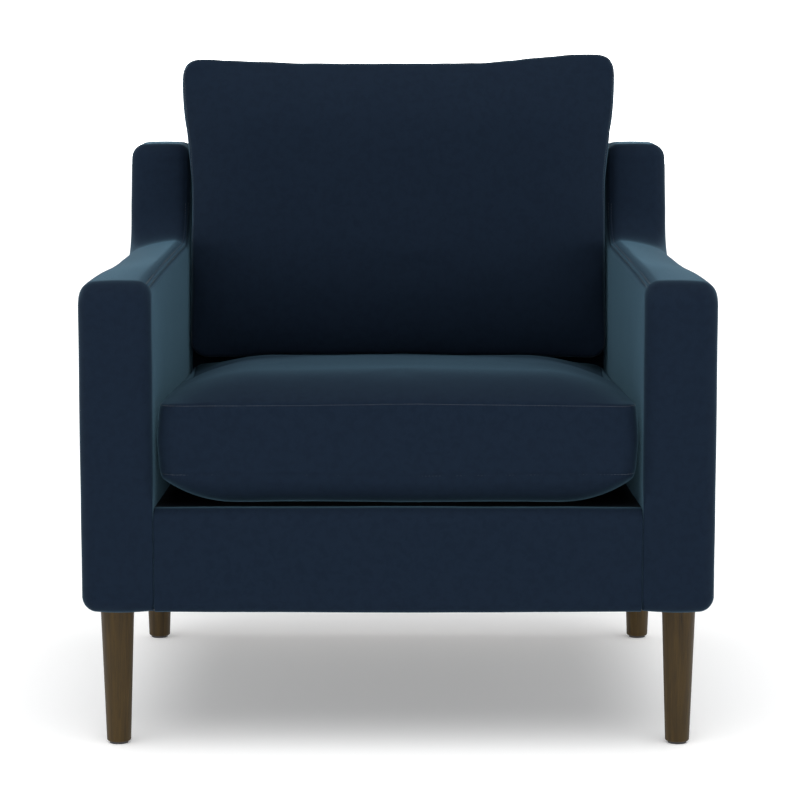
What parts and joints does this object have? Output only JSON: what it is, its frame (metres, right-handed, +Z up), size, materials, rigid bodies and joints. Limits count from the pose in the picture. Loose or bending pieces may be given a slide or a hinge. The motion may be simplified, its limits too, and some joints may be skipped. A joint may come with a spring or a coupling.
{
  "type": "armchair",
  "caption": "Upholstered armchair with slab arms, low wings, a raked back, a sprung deck, loose seat and back cushions and turned legs.",
  "frame": {"origin": "on the floor, under the centre of the overall box", "axes": "+Z up, -Y towards the front of the chair, +X to the right for someone facing its front"},
  "size_m": [0.8, 0.85, 0.8609],
  "materials": {
    "velvet": "matte",
    "frame_timber": "matte",
    "fibreboard": "matte",
    "foam": "matte",
    "wadding": "matte",
    "lining_cloth": "matte",
    "webbing": "matte",
    "zinc_steel": "satin",
    "leg_wood": "satin",
    "glide_plastic": "matte",
    "zip": "matte",
    "zip_metal": "satin"
  },
  "bodies": {
    "chair": {"right_side_rail": "frame_timber", "right_front_post": "frame_timber", "right_arm_rail": "frame_timber", "right_back_post": "frame_timber", "right_wing_post": "frame_timber", "right_wing_rail": "frame_timber", "left_side_rail": "frame_timber", "left_front_post": "frame_timber", "left_arm_rail": "frame_timber", "left_back_post": "frame_timber", "left_wing_post": "frame_timber", "left_wing_rail": "frame_timber", "front_rail": "frame_timber", "rear_rail": "frame_timber", "back_lower_rail": "frame_timber", "back_top_rail": "frame_timber", "corner_blocks": "frame_timber", "right_outer_panel": "fibreboard", "right_inner_panel": "fibreboard", "left_outer_panel": "fibreboard", "left_inner_panel": "fibreboard", "outside_back_panel": "fibreboard", "right_arm_foam": "foam", "left_arm_foam": "foam", "front_rail_pad": "foam", "inside_back_pad": "foam", "deck_pad": "foam", "right_outer_wadding": "wadding", "left_outer_wadding": "wadding", "right_arm_cover": "velvet", "left_arm_cover": "velvet", "front_rail_cover": "velvet", "inside_back_cover": "velvet", "outside_back_cover": "velvet", "deck_cloth": "lining_cloth", "dust_cover": "lining_cloth", "back_webbing": "webbing", "seat_springs": "zinc_steel", "spring_clips": "zinc_steel", "frame_screws": "zinc_steel", "hanger_bolts": "zinc_steel", "leg_inserts": "zinc_steel", "left_front_leg": "leg_wood", "left_rear_leg": "leg_wood", "right_front_leg": "leg_wood", "right_rear_leg": "leg_wood", "floor_glides": "glide_plastic"},
    "seat_cushion": {"seat_foam_core": "foam", "seat_fibre_wrap": "wadding", "seat_cushion_cover": "velvet", "seat_zip": "zip"},
    "seat_zip_slider": {"seat_zip_slider": "zip_metal"},
    "back_cushion": {"back_cushion_filling": "wadding", "back_cushion_cover": "velvet", "back_zip": "zip"},
    "back_zip_slider": {"back_zip_slider": "zip_metal"}
  },
  "joints": [
    {"name": "seat_cushion_slide", "type": "slide", "parent": "chair", "child": "seat_cushion", "axis": [0, -0.999, 0.0436], "range_m": [0, 0.72]},
    {"name": "back_cushion_lift", "type": "slide", "parent": "chair", "child": "back_cushion", "axis": [0, 0.1771, 0.9842], "range_m": [0, 0.45]},
    {"name": "seat_zip_slide", "type": "slide", "parent": "seat_cushion", "child": "seat_zip_slider", "axis": [1, 0, 0], "range_m": [0, 0.47]},
    {"name": "back_zip_slide", "type": "slide", "parent": "back_cushion", "child": "back_zip_slider", "axis": [1, 0, 0], "range_m": [0, 0.47]}
  ]
}
